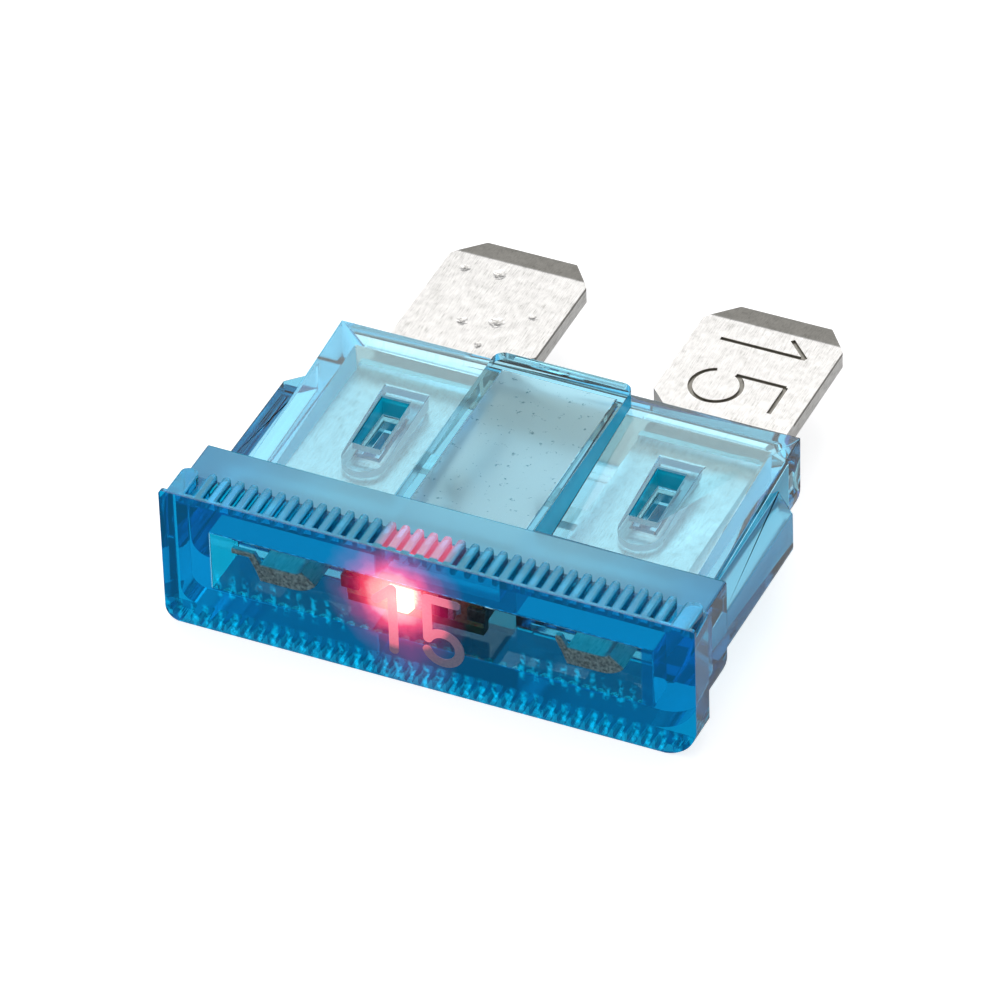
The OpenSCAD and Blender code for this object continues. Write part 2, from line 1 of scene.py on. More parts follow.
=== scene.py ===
# %% [markdown]
# # A blade fuse in clear blue plastic
#
# This lesson dresses a regular-size blade fuse for a car: a clear blue housing, two stamped and tinned
# blades, and behind the printed 15 a tiny board with a red light that glows once the link has blown.
# The solids come from CAD and stay where they are. Blender gives each of them its finish, and puts
# copies with rounded edges in the place of the housing and of a few small parts.

import math

import bpy
from mathutils import Matrix, Vector


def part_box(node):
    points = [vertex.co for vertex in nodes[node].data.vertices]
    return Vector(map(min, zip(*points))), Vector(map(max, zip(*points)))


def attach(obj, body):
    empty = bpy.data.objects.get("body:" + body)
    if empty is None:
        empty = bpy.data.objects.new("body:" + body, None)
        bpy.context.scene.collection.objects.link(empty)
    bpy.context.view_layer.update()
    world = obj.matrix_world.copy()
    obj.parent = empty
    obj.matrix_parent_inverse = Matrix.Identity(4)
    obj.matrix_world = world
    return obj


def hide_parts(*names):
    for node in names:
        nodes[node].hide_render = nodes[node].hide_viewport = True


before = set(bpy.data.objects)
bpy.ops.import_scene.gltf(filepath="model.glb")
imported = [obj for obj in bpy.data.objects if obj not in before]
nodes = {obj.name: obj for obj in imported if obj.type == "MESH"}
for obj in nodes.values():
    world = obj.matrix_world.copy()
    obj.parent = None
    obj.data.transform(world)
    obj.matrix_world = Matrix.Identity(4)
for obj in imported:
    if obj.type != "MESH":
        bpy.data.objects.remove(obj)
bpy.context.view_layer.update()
print("CAD nodes:", sorted(nodes))

# %% [markdown]
# ## Sizes
#
# Blender works in metres, while everything on a fuse is a few millimetres or less. The housing's front
# face and its middle plane are the places that all other sizes are counted from, so they are read from
# the solids.

# %% Millimetres and the fuse's own axes
MM = 0.001
housing_low, housing_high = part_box("housing")
FRONT = housing_low.y
MIDDLE = (housing_low.z + housing_high.z) / 2


def at(x, y, z):
    """A place in mm from the fuse's middle, the head's front face and the middle plane."""
    return Vector((x * MM, FRONT + y * MM, MIDDLE + z * MM))


print("front face at y =", round(FRONT / MM, 3), "mm, middle plane at z =", round(MIDDLE / MM, 3), "mm")

# %% [markdown]
# ## Camera
#
# The fuse was photographed from above its head, a little from the right, with a long lens, so its
# edges run almost parallel. The angles below turn the camera round the fuse in the way a photographer
# would say it: how far round, how high, and how much the camera was tilted.

# %% Camera at the photograph's angle
AROUND, HEIGHT, TILT = (math.radians(angle) for angle in (25.604, 38.751, -1.959))
DISTANCE = 300 * MM
LENS, SENSOR = 326.9, 36
aim = at(-0.453, 6.830, 0)
towards_eye = Vector((math.sin(AROUND) * math.cos(HEIGHT), -math.cos(AROUND) * math.cos(HEIGHT),
                      math.sin(HEIGHT)))
level = Vector((math.cos(AROUND), math.sin(AROUND), 0))
upright = towards_eye.cross(level)
side = math.cos(TILT) * level + math.sin(TILT) * upright
top = math.cos(TILT) * upright - math.sin(TILT) * level

bpy.ops.object.camera_add()
camera = bpy.context.object
turn = Matrix((side, top, towards_eye)).transposed().to_4x4()
camera.matrix_world = Matrix.Translation(aim + DISTANCE * towards_eye) @ turn
camera.data.sensor_width = SENSOR
camera.data.lens = LENS
camera.data.clip_start = 10 * MM
bpy.context.scene.camera = camera
print("camera stands at", [round(c, 4) for c in camera.location])

# %% [markdown]
# ## Colours and nodes
#
# Every finish below is a small tree of shader nodes. One function takes a colour as a web page writes
# it, in sRGB hex, and turns it to the linear values that Blender calculates with. Another adds a node,
# sets what it is given, and links its inputs. A third starts a material from its one main shader.

# %% Node helpers
WHITE, BLACK = (1, 1, 1, 1), (0, 0, 0, 1)


def linear(code):
    """The linear colour of an sRGB hex value such as "B5E0E8"."""
    parts = [int(code[i:i + 2], 16) / 255 for i in (0, 2, 4)]
    return tuple(p / 12.92 if p <= 0.04045 else ((p + 0.055) / 1.055) ** 2.4 for p in parts) + (1,)


def add(tree, kind, inputs=None, **settings):
    """A new node. settings are its own options, and inputs, by name or number, are values or outputs."""
    new = tree.nodes.new("ShaderNode" + kind)
    for key, value in settings.items():
        setattr(new, key, value)
    for key, value in (inputs or {}).items():
        if isinstance(value, bpy.types.NodeSocket):
            tree.links.new(value, new.inputs[key])
        else:
            new.inputs[key].default_value = value
    return new


def start_material(name, **values):
    """A material with a Principled shader set to values. Returns material, tree and shader."""
    made = bpy.data.materials.new(name)
    made.use_nodes = True
    # What glows here is found by the light that bounces, so no ray is spent on aiming at it
    made.cycles.emission_sampling = "NONE"
    tree = made.node_tree
    shader = tree.nodes["Principled BSDF"]
    for key, value in values.items():
        shader.inputs[key.replace("_", " ")].default_value = value
    return made, tree, shader


print("the hex grey C8C8C8 is", [round(c, 3) for c in linear("C8C8C8")], "in linear light")

# %% [markdown]
# ## Places
#
# Some finishes change from place to place: the metal is darker on its pressed tips, and the plastic is
# deeper in colour where it is thick. So a finish asks how far along the fuse a point lies. All of this
# reads Object coordinates, which stay with the part however the camera moves.

# %% Bands and slabs


def place_on(tree):
    """The point that is being shaded, and its three coordinates by the names X, Y and Z."""
    place = add(tree, "TexCoord").outputs["Object"]
    return place, add(tree, "SeparateXYZ", {0: place}).outputs


def overlap(tree, first, *others):
    """The share of a point that lies in several places at once."""
    for other in others:
        first = add(tree, "Math", {0: first, 1: other}, operation="MULTIPLY").outputs[0]
    return first


def either(tree, first, *others):
    """The share of a point that lies in any one of several places."""
    for other in others:
        first = add(tree, "Math", {0: first, 1: other}, operation="MAXIMUM").outputs[0]
    return first


def band(tree, value, low, high, soft):
    """1 between two values in metres, fading to 0 over the distance soft outside them."""
    rise = add(tree, "MapRange", {0: value, 1: low - soft, 2: low, 3: 0, 4: 1},
               interpolation_type="SMOOTHSTEP")
    fall = add(tree, "MapRange", {0: value, 1: high, 2: high + soft, 3: 1, 4: 0},
               interpolation_type="SMOOTHSTEP")
    return overlap(tree, rise.outputs[0], fall.outputs[0])


def slab(tree, axes, axis, low, high, soft):
    """1 between two places in mm along the fuse's X, Y or Z, fading to 0 over soft mm."""
    first, last = (at(place, place, place)["XYZ".index(axis)] for place in (low, high))
    return band(tree, axes[axis], first, last, soft * MM)


# %% [markdown]
# ## Light
#
# A studio for clear plastic and bright metal is mostly big pale surfaces: the metal shows what it
# mirrors, and the plastic what lies behind it. So the sky is a soft gradient, bright above and darker
# near the table. The camera sees it as plain white, and so, nearly, does light that has crossed the
# plastic.

# %% Sky
world = bpy.data.worlds.new("studio")
bpy.context.scene.world = world
world.use_nodes = True
sky = world.node_tree
towards = add(sky, "TexCoord").outputs["Generated"]
gradient = add(sky, "ValToRGB", {0: add(sky, "SeparateXYZ", {0: towards}).outputs["Z"]})
low_sky, high_sky = gradient.color_ramp.elements
low_sky.position, low_sky.color = 0.2, linear("A0A2A6")
high_sky.position, high_sky.color = 0.6, linear("E1E1E3")
path = add(sky, "LightPath").outputs
through = add(sky, "Math", {0: path["Is Transmission Ray"], 1: 0.85}, operation="MULTIPLY").outputs[0]
seen = either(sky, path["Is Camera Ray"], through)
shown = add(sky, "Mix", {0: seen, 6: gradient.outputs[0], 7: WHITE}, data_type="RGBA").outputs[2]
background = sky.nodes["Background"]
sky.links.new(shown, background.inputs["Color"])
background.inputs["Strength"].default_value = 1
print("the sky has", len(sky.nodes), "nodes")

# %% [markdown]
# ## Softboxes
#
# One large softbox stands behind the blades and makes them shine, and a weaker one at the front left
# lifts the shadows. A brightness of 1 is as bright as white paper in the picture.

# %% Softboxes
SOFTBOXES = [
    # name, place in mm, size in mm, brightness
    ("overhead softbox", (-60, 120, 260), 240, 1.4),
    ("front fill", (-220, -160, 140), 160, 1.0),
]
for name, spot, size, brightness in SOFTBOXES:
    bpy.ops.object.light_add(type="AREA", location=at(*spot))
    lamp = bpy.context.object
    lamp.name = name
    lamp.data.size = size * MM
    lamp.data.energy = brightness * math.pi * (size * MM) ** 2
    lamp.rotation_euler = (lamp.location - aim).to_track_quat("Z", "Y").to_euler()
    print(name, "at", [round(c / MM) for c in lamp.location], "mm")

# %% [markdown]
# ## Table
#
# A sheet of card under the fuse. To the camera it is pure white with the fuse's soft shadow left in it.
# The metal and the plastic see plain pale grey card, and ahead of the fuse card painted dark, a painted shade
# which keeps the head's front deep in colour. Light that comes down through the plastic finds the card lit.

# %% Table
bpy.ops.mesh.primitive_plane_add(size=3, location=(0, 0, 0))
floor = bpy.context.object
floor.name = "table"
CAMERA_GLOW, PLASTIC_GLOW = 0.7, 0.8
card, tree, shader = start_material("white card", Base_Color=linear("C8C8C8"), Roughness=0.9,
                                    Emission_Color=WHITE)
path = add(tree, "LightPath").outputs
_, axes = place_on(tree)
ahead = add(tree, "MapRange", {0: axes["Y"], 1: FRONT + 0.5 * MM, 2: FRONT - 0.5 * MM}).outputs[0]
unseen = add(tree, "Math", {0: 1.0, 1: path["Is Camera Ray"]}, operation="SUBTRACT").outputs[0]
# Painted shade: ahead of the fuse, every ray but the camera's sees the card dark
dark = overlap(tree, ahead, unseen)
tone = add(tree, "Mix", {0: dark, 6: linear("C8C8C8"), 7: linear("303438")}, data_type="RGBA").outputs[2]
tree.links.new(tone, shader.inputs["Base Color"])
under = add(tree, "Math", {0: 1.0, 1: ahead}, operation="SUBTRACT").outputs[0]
under = overlap(tree, under, path["Is Transmission Ray"])
under = add(tree, "Math", {0: under, 1: PLASTIC_GLOW}, operation="MULTIPLY").outputs[0]
lit_card = add(tree, "Math", {0: path["Is Camera Ray"], 1: CAMERA_GLOW, 2: under}, operation="MULTIPLY_ADD")
tree.links.new(lit_card.outputs[0], shader.inputs["Emission Strength"])
floor.data.materials.append(card)
print("the table is", round(floor.dimensions.x, 2), "m wide")

# %% [markdown]
# ## Clear blue polycarbonate
#
# The housing is injection moulded from dyed polycarbonate, the plastic of safety glasses. It refracts
# strongly (1.585) and has a polish from the steel mould. The dye takes red out of the light for every
# millimetre it crosses and green a little, so thin walls are pale cyan and long paths turn deep blue.
# A volume shader does that sum along the way that each ray really takes.

# %% Plastic and its dye
plastic, tree, shader = start_material("clear blue polycarbonate", IOR=1.585, Roughness=0.03,
                                       Transmission_Weight=1.0, Emission_Strength=1.0)
# How strongly a millimetre of plastic absorbs red, green and blue
TAKEN = (0.75, 0.12, 0.03)
DENSITY = 500.0
left_over = tuple(1 - t / MM / DENSITY for t in TAKEN) + (1,)
dye = add(tree, "VolumeAbsorption", {"Color": left_over, "Density": DENSITY})
tree.links.new(dye.outputs[0], tree.nodes["Material Output"].inputs["Volume"])
place, axes = place_on(tree)
print("left of red, green and blue after 3 mm:", [round(math.exp(-3 * t), 2) for t in TAKEN])

# %% [markdown]
# ## Where the front is thick
#
# Seen from the front, the head is a window with a thick frame. Behind the window the head is hollow and the
# light gets out again, while the frame is solid plastic to its back and looks much deeper in colour; that
# depth is painted on the frame's front as a dark tint, a painted shade. The same frame glows a little,
# because plastic guides light to its edges. A renderer doesn't find that light in a reasonable time, so it is
# put on the outer skin as a painted glow.

# %% Window and frame
window = overlap(tree, slab(tree, axes, "X", -7.7, 7.6, 0.1), slab(tree, axes, "Z", -0.8, 1.4, 0.08))
inside = add(tree, "NewGeometry").outputs["Backfacing"]
outside = add(tree, "Math", {0: 1.0, 1: inside}, operation="SUBTRACT").outputs[0]
front = overlap(tree, outside, slab(tree, axes, "Y", -1, 0.04, 0.03))
beside_window = add(tree, "Math", {0: 1.0, 1: window}, operation="SUBTRACT").outputs[0]
frame_share = overlap(tree, front, beside_window)
# A painted shade deepens the frame's front, and a painted glow lights it
FRAME_SHADE, FRAME_GLOW = linear("00456F"), linear("004B73")
print("window and frame take", len(tree.nodes), "nodes so far")

# %% [markdown]
# ## A ramp of colours
#
# A ramp turns a number, such as a distance or the height of some noise, to a colour. The frost on the
# shoulder is the first to need one, and most finishes below use it as well.

# %% Ramp of colours


def ramp(tree, value, low, high, stops):
    """Colours that a value picks between low and high. A stop is a place from 0 to 1 and a linear colour."""
    share = add(tree, "MapRange", {0: value, 1: low, 2: high}).outputs[0]
    made = add(tree, "ValToRGB", {0: share})
    knots = made.color_ramp.elements
    for i, (position, tone) in enumerate(stops):
        knot = knots[i] if i < 2 else knots.new(position)
        knot.position, knot.color = position, tone
    return made.outputs[0]


# %% [markdown]
# ## Tints by place
#
# Each flat side carries a tint of its own, painted light and shade, as an attribute that is made further
# down. Four places change it: the frame, painted deeper, the chamber's floor, painted dark where it lies in
# the head's shadow near the front, the shoulder behind the grip, which the mould left frosted, and the
# chamber's roof, where the link that blew left soot and tiny beads. The frost is palest in its middle.

# %% Tints by place
tint = add(tree, "Attribute", attribute_name="tint").outputs
chamber = slab(tree, axes, "X", -2.15, 2.15, 0.05)
shadow = add(tree, "MapRange", {0: axes["Y"], 1: at(0, 4, 0).y, 2: at(0, 7, 0).y, 3: 1.0, 4: 0.0}).outputs[0]
shadow = overlap(tree, slab(tree, axes, "Z", -2.1, -1.2, 0.05), chamber, shadow)
colour = add(tree, "Mix", {0: shadow, 6: tint["Color"], 7: linear("003F59")}, data_type="RGBA").outputs[2]
colour = add(tree, "Mix", {0: frame_share, 6: colour, 7: FRAME_SHADE}, data_type="RGBA").outputs[2]

shoulder = overlap(tree, slab(tree, axes, "Z", 2.33, 2.37, 0.01), slab(tree, axes, "Y", 1.55, 3.08, 0.05))
sideways = add(tree, "Math", {0: axes["X"]}, operation="ABSOLUTE").outputs[0]
frost = ramp(tree, sideways, 4 * MM, 9.5 * MM, ((0.0, linear("89D7F0")), (1.0, linear("55ADD7"))))
colour = add(tree, "Mix", {0: shoulder, 6: colour, 7: frost}, data_type="RGBA").outputs[2]

specks = {"Vector": place, "Scale": 1 / (0.3 * MM), "Detail": 3.0, "Roughness": 0.7}
soot = add(tree, "MapRange", {0: add(tree, "TexNoise", specks).outputs["Fac"], 1: 0.62, 2: 0.7}).outputs[0]
soot = overlap(tree, slab(tree, axes, "Z", 1.6, 1.9, 0.02), chamber, soot)
colour = add(tree, "Mix", {0: soot, 6: colour, 7: linear("507C89")}, data_type="RGBA").outputs[2]
tree.links.new(colour, shader.inputs["Base Color"])
print("and the tints by place bring them to", len(tree.nodes))

# %% [markdown]
# ## Roughness and milk
#
# Most sides came off polished steel. Some came off spark eroded steel or were scuffed, and scatter the
# light instead: they are rough, and a share of them is milky rather than clear. Each side carries both
# numbers, and the frosted shoulder adds to them.

# %% Roughness and milk
rough = add(tree, "Attribute", attribute_name="roughness").outputs["Fac"]
rough = add(tree, "Math", {0: shoulder, 1: 0.5, 2: rough}, operation="MULTIPLY_ADD").outputs[0]
tree.links.new(rough, shader.inputs["Roughness"])
milk = add(tree, "Attribute", attribute_name="milk").outputs["Fac"]
milk = add(tree, "Math", {0: shoulder, 1: 0.15, 2: milk}, operation="MULTIPLY_ADD").outputs[0]
clear = add(tree, "Math", {0: 1.0, 1: milk}, operation="SUBTRACT", use_clamp=True).outputs[0]
tree.links.new(clear, shader.inputs["Transmission Weight"])
print("roughness and milk bring them to", len(tree.nodes))

# %% [markdown]
# ## Red light in the plastic
#
# The die behind the 15 is so bright that its light scatters in the front wall as a ragged red disc, and
# hangs as a faint haze below it. It also lights a few ribs of the grip above it. In a real moulding the
# light bounces there by itself. Here it is emission round the die's place, which stays where it is.

# %% Red light


def distance(tree, axes, centre):
    """Distance in metres from a line through centre that runs from front to back."""
    gaps = [add(tree, "Math", {0: axes[axis], 1: c}, operation="SUBTRACT").outputs[0]
            for axis, c in (("X", centre.x), ("Z", centre.z))]
    offset = add(tree, "CombineXYZ", {0: gaps[0], 1: gaps[1]}).outputs[0]
    return add(tree, "VectorMath", {0: offset}, operation="LENGTH").outputs["Value"]


LAMP, HAZE = at(-1.05, 0, 0.78), at(-0.6, 0, -1.5)
uneven = add(tree, "TexNoise", {"Vector": place, "Scale": 1 / (0.5 * MM), "Detail": 3.0}).outputs["Fac"]
from_lamp = distance(tree, axes, LAMP)
from_lamp = add(tree, "Math", {0: uneven, 1: 0.5 * MM, 2: from_lamp}, operation="MULTIPLY_ADD").outputs[0]
halo = ramp(tree, from_lamp, 0.25 * MM, 2.9 * MM, (
    (0.0, linear("FFE1CB")), (1.0, BLACK), (0.17, linear("FFC4BC")), (0.36, linear("FF95A2")),
    (0.44, linear("F33F65")), (0.6, linear("95003F")), (0.78, linear("450021"))))
haze = ramp(tree, distance(tree, axes, HAZE), 0, 1.7 * MM, (
    (0.0, linear("590030")), (1.0, BLACK), (0.5, linear("380019"))))
red = add(tree, "Mix", {0: 1.0, 6: halo, 7: haze}, data_type="RGBA", blend_type="ADD").outputs[2]
red_ribs = overlap(tree, outside, slab(tree, axes, "X", -1.4, 0.4, 0.6), slab(tree, axes, "Y", 0.3, 1.4, 0.1),
                   slab(tree, axes, "Z", 2.3, 3, 0.1))
print("red light round", [round(c / MM, 2) for c in LAMP], "mm")

# %% [markdown]
# ## Streaks from the lower ribs
#
# The grip's lower ribs work as little prisms and throw streaks of light up into the front, one to a
# rib. A sine wave with the ribs' pitch places them, one noise bends them and another breaks them up.
# They show low down across the whole front, and beside both blades.

# %% Streaks
RIB_PITCH = 0.497
phase = add(tree, "Math", {0: axes["X"], 1: 2 * math.pi / (RIB_PITCH * MM)}, operation="MULTIPLY").outputs[0]
waver = add(tree, "TexNoise", {"Vector": place, "Scale": 1 / (0.6 * MM), "Detail": 2.0}).outputs["Fac"]
phase = add(tree, "Math", {0: waver, 1: 5.0, 2: phase}, operation="MULTIPLY_ADD").outputs[0]
wave = add(tree, "Math", {0: phase}, operation="SINE").outputs[0]
wave = add(tree, "MapRange", {0: wave, 1: -0.2, 2: 0.9}).outputs[0]
fleck = add(tree, "TexNoise", {"Vector": place, "Scale": 1 / (0.22 * MM), "Detail": 3.0}).outputs["Fac"]
fleck = add(tree, "MapRange", {0: fleck, 1: 0.42, 2: 0.62}).outputs[0]
beside_blades = either(tree, slab(tree, axes, "X", -7.5, -3.2, 0.5), slab(tree, axes, "X", 3.4, 7.3, 0.5))
beside_blades = overlap(tree, beside_blades, slab(tree, axes, "Z", -1.0, -0.3, 0.3))
lit_part = either(tree, beside_blades, slab(tree, axes, "Z", -2.6, -1.9, 0.3))
streaks = overlap(tree, front, lit_part, wave, fleck)
print("a streak every", RIB_PITCH, "mm")

# %% [markdown]
# ## All that glows
#
# Now the glows are added up, each in its own colour and place. The sum starts with a few narrow sides,
# which glow in their own tint, since light that the plastic guides leaves through them: the fourth
# number of the attribute tint says how much.

# %% Glow of the plastic
guided = add(tree, "VectorMath", {0: tint["Color"], "Scale": tint["Alpha"]}, operation="SCALE").outputs[0]
for share, light in ((frame_share, FRAME_GLOW), (front, red), (red_ribs, linear("C43F4B")),
                     (streaks, linear("008BAD"))):
    part = add(tree, "Mix", {0: share, 6: BLACK, 7: light}, data_type="RGBA").outputs[2]
    guided = add(tree, "Mix", {0: 1.0, 6: guided, 7: part}, data_type="RGBA", blend_type="ADD").outputs[2]
tree.links.new(guided, shader.inputs["Emission Color"])


def paint(node, finish):
    """Gives a CAD node one finish."""
    mesh = nodes[node].data
    mesh.materials.clear()
    mesh.materials.append(finish)


paint("housing", plastic)
print("the whole plastic has", len(tree.nodes), "nodes")

# %% [markdown]
# ## The housing as it leaves the mould
#
# The solid has knife-sharp edges, and a moulding never has: the steel of the mould is always a little
# rounded, which is what draws the thin bright lines round the panels and the block. So a copy of the
# solid is merged, and its triangles are joined to one face for each flat side.

# %% Merged copy of a solid


def copy_of(node, name):
    """A new piece that starts as a merged copy of a CAD node, with one face per flat side."""
    mesh = nodes[node].data.copy()
    mesh.transform(nodes[node].matrix_world)
    piece = bpy.data.objects.new(name, mesh)
    bpy.context.collection.objects.link(piece)
    bpy.ops.object.select_all(action="DESELECT")
    bpy.context.view_layer.objects.active = piece
    piece.select_set(True)
    bpy.ops.object.mode_set(mode="EDIT")
    bpy.ops.mesh.select_all(action="SELECT")
    bpy.ops.mesh.remove_doubles(threshold=0.0002 * MM)
    bpy.ops.mesh.dissolve_limited(angle_limit=math.radians(0.3))
    bpy.ops.object.mode_set(mode="OBJECT")
    return piece


moulding = copy_of("housing", "moulding")
print("the moulding starts with", len(moulding.data.polygons), "faces")

# %% [markdown]
# ## Rounded edges
#
# Then the long edges get a radius of a few hundredths of a millimetre. Only an edge between two faces
# that meet at a clear angle is rounded, and only if it is long, so the small curves of the pockets keep
# their shape. A bevel weight marks those edges for the Bevel modifier.

# %% Rounded edges
EDGE_RADIUS = 0.05
LEAST_LENGTH = 0.9
LEAST_ANGLE = 25


def soften(piece, radius, least_length):
    """Rounds the sharp edges of a piece that are longer than least_length mm."""
    mesh = piece.data
    sides = {}
    for face in mesh.polygons:
        for key in face.edge_keys:
            sides.setdefault(key, []).append(face.normal)
    weight = mesh.attributes.new("bevel_weight_edge", "FLOAT", "EDGE")
    chosen = 0
    for edge in mesh.edges:
        a, b = (mesh.vertices[i].co for i in edge.vertices)
        normals = sides[edge.key]
        if len(normals) != 2 or (a - b).length <= least_length * MM:
            continue
        if normals[0].angle(normals[1]) > math.radians(LEAST_ANGLE):
            weight.data[edge.index].value = 1
            chosen += 1
    bevel = piece.modifiers.new("mould radius", "BEVEL")
    bevel.limit_method = "WEIGHT"
    bevel.width = radius * MM
    bevel.segments = 2
    bevel.use_clamp_overlap = False
    bevel.loop_slide = False
    bevel.harden_normals = False
    bpy.ops.object.modifier_apply(modifier=bevel.name)
    print(piece.name, "has", chosen, "rounded edges and", len(mesh.polygons), "faces")


soften(moulding, EDGE_RADIUS, LEAST_LENGTH)
moulding.data.materials.clear()
moulding.data.materials.append(plastic)

# %% [markdown]
# ## Names for places on the moulding
#
# A moulder would say "the rail's inner side" or "the ground between the ribs". These short tests let
# the table in the next step say it too. Each one looks at where the middle of a face lies.

# %% Tests for faces


def within(face, low, high):
    """Whether a face's middle lies in a box given in mm from the fuse's middle."""
    return all(at(*low)[i] < face.center[i] < at(*high)[i] for i in range(3))


def flanking(face, x, half, y, z):
    """Within half mm of x mm on either side of the fuse, between two places along y and two along z."""
    return any(within(face, (place - half, y[0], z[0]), (place + half, y[1], z[1])) for place in (-x, x))


def in_head(face):
    return within(face, (-8, 0.7, -1.25), (8, 2.75, 1.25))


def beside_block(face):
    return flanking(face, 2.5, 0.1, (3.2, 11.2), (1.1, 2.5)) and abs(face.normal.x) > 0.9


def on_grip(face):
    return within(face, (-10, 0.31, 2.2), (10, 1.5, 2.8)) or within(face, (-10, 0.31, -2.8), (10, 1.5, -2.2))


def in_pocket(face):
    return flanking(face, 5, 0.52, (6.2, 8.6), (-2.2, 2.2))


def beside_pocket(face):
    """On the posts round the stake pockets, outside the pockets themselves."""
    return flanking(face, 5, 0.8, (5.2, 9.6), (-1.5, 1.5)) and not in_pocket(face)


def beside_rail(face):
    return flanking(face, 8.2, 0.3, (3.2, 11.2), (1.0, 2.6)) and abs(face.normal.x) > 0.8


def beside_slot(face):
    return flanking(face, 7.6, 0.15, (3.2, 11.5), (-1.0, 1.0)) and abs(face.normal.x) > 0.8


print("faces in the hollow of the head:", sum(in_head(face) for face in moulding.data.polygons))

# %% [markdown]
# ## What each side does to the light
#
# A clear side lets light pass as it is. The others are listed here, from what the photograph shows. Each tint
# darkens and colours the light that crosses a side, as painted light and shade: deep in the hollow of the
# head and between the ribs, pale on the panels, the bosses and the rib crests, and lavender on the right
# sides as a painted reflection. Some sides the mould left rough, and narrow sides that light leaves by glow,
# a painted light. Where a face passes two tests, the later row counts.

# %% Table of sides
CLEAR = "FFFFFF"
SIDES = [
    # name, test, painted tint that it gives to light crossing it, roughness, share of milk, painted glow in
    # its own tint
    # Painted reflection: the right sides take a lavender tint
    ("right sides", lambda f: f.normal.x > 0.8 and f.center.x > at(8.5, 0, 0).x, "CEDAE7", 0.1, 0.1, 0),
    # Painted shade: the hollow of the head is tinted deep blue
    ("hollow's floor", lambda f: in_head(f) and f.normal.z > 0.9, "0081B3", 0.03, 0, 0),
    ("hollow's ends", lambda f: in_head(f) and abs(f.normal.x) > 0.9, "0095BC", 0.03, 0, 0),
    ("hollow's roof", lambda f: in_head(f) and f.normal.z < -0.9, "00C4E1", 0.03, 0, 0),
    ("hollow's back", lambda f: in_head(f) and f.normal.y < -0.9, "27A0CB", 0.2, 0, 0),
    # Painted light and shade: the block's left side pale, its right side deep and glowing
    ("block's left", lambda f: beside_block(f) and f.normal.x < 0, "95CBE1", 0.15, 0.3, 0),
    ("block's right", lambda f: beside_block(f) and f.normal.x > 0, "00A0CB", 0.15, 0.8, 0.2),
    ("rails' inner sides", beside_rail, "00A0C4", 0.15, 0.7, 0.15),
    ("slots' outer walls", beside_slot, "00AACB", 0.15, 0.7, 0.15),
    ("right rail", lambda f: f.normal.z > 0.9 and within(f, (8, 3.3, 0.3), (9.7, 11.5, 2.6)),
     "89CBE1", 0.1, 0.4, 0),
    ("plain strip", lambda f: f.normal.z > 0.1 and within(f, (-10, -0.1, 2.5), (10, 0.2, 2.8)),
     "00A0CB", 0.15, 0.3, 0),
    ("front's lower edge", lambda f: f.normal.z < -0.1 and within(f, (-10, -0.1, -2.8), (10, 0.2, -2.5)),
     "0095BC", 0.15, 0.5, 0.05),
    # Painted shade and highlight: rib walls and ground deep, rib crests pale and glowing
    ("rib walls", lambda f: on_grip(f) and abs(f.normal.z) < 0.3, "0089AA", 0.05, 0.1, 0),
    ("rib ground", lambda f: on_grip(f) and abs(f.normal.z) > 0.9 and abs(f.center.z - MIDDLE) < 2.4 * MM,
     "0095BC", 0.1, 0.4, 0),
    ("rib crests", lambda f: on_grip(f) and f.normal.z > 0.3 and f.center.z > at(0, 0, 2.4).z,
     "38C4ED", 0.2, 0.3, 0.12),
    ("shoulder's back edge", lambda f: f.normal.y > 0.2 and within(f, (-8.2, 3.05, 2.25), (8.2, 3.25, 2.36)),
     "0095B3", 0.2, 0.8, 0.1),
    ("shoulder's back", lambda f: f.normal.y > 0.9 and within(f, (-10, 3.1, 0.9), (10, 3.2, 2.25)),
     "AAE1ED", 0.4, 1, 0.3),
    ("panels", lambda f: f.normal.z > 0.9 and within(f, (-9, 3.3, 1.1), (9, 11.5, 1.9)),
     "CBEDF6", 0.1, 0.1, 0),
    ("bosses", lambda f: abs(f.normal.z) < 0.3 and beside_pocket(f), "E1F7FD", 0.5, 0.9, 0.1),
    ("pockets", lambda f: abs(f.normal.z) < 0.3 and in_pocket(f), "00A0BC", 0.2, 0.6, 0.1),
    ("chamber's roof", lambda f: f.normal.z < -0.9 and within(f, (-2.2, 2.4, 1.5), (2.2, 11, 2)),
     CLEAR, 0.3, 0.3, 0),
    ("end wall", lambda f: f.normal.y < -0.9 and within(f, (-7.8, 10.9, -2), (7.8, 11, 2)),
     "7C6F61", 0.03, 0, 0),
]
print(len(SIDES), "kinds of sides")

# %% [markdown]
# ## Marks on the faces
#
# The table is written into the mesh as three attributes on its faces, tint, roughness and milk, which
# the plastic reads. So one material serves the whole moulding, and its marks go wherever it goes.

# %% Marks on the faces


def mark_faces(piece, sides):
    """Stores tint, roughness and milk on every face of a piece, for its material to read."""
    marks = piece.data.attributes
    for name, kind in (("tint", "FLOAT_COLOR"), ("roughness", "FLOAT"), ("milk", "FLOAT")):
        marks.new(name, kind, "FACE")
    tint, roughness, milk = (marks[name].data for name in ("tint", "roughness", "milk"))
    counts = {}
    for face in piece.data.polygons:
        kind, shade, rough, cloud, light = "clear", CLEAR, 0.03, 0, 0
        for name, test, *values in sides:
            if test(face):
                kind, (shade, rough, cloud, light) = name, values
        tint[face.index].color = linear(shade)[:3] + (light,)
        roughness[face.index].value = rough
        milk[face.index].value = cloud
        counts[kind] = counts.get(kind, 0) + 1
    print(counts)


def finish_piece(piece, node):
    """Lets a piece ride on the fuse in place of a CAD node."""
    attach(piece, "root")
    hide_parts(node)


mark_faces(moulding, SIDES)
finish_piece(moulding, "housing")

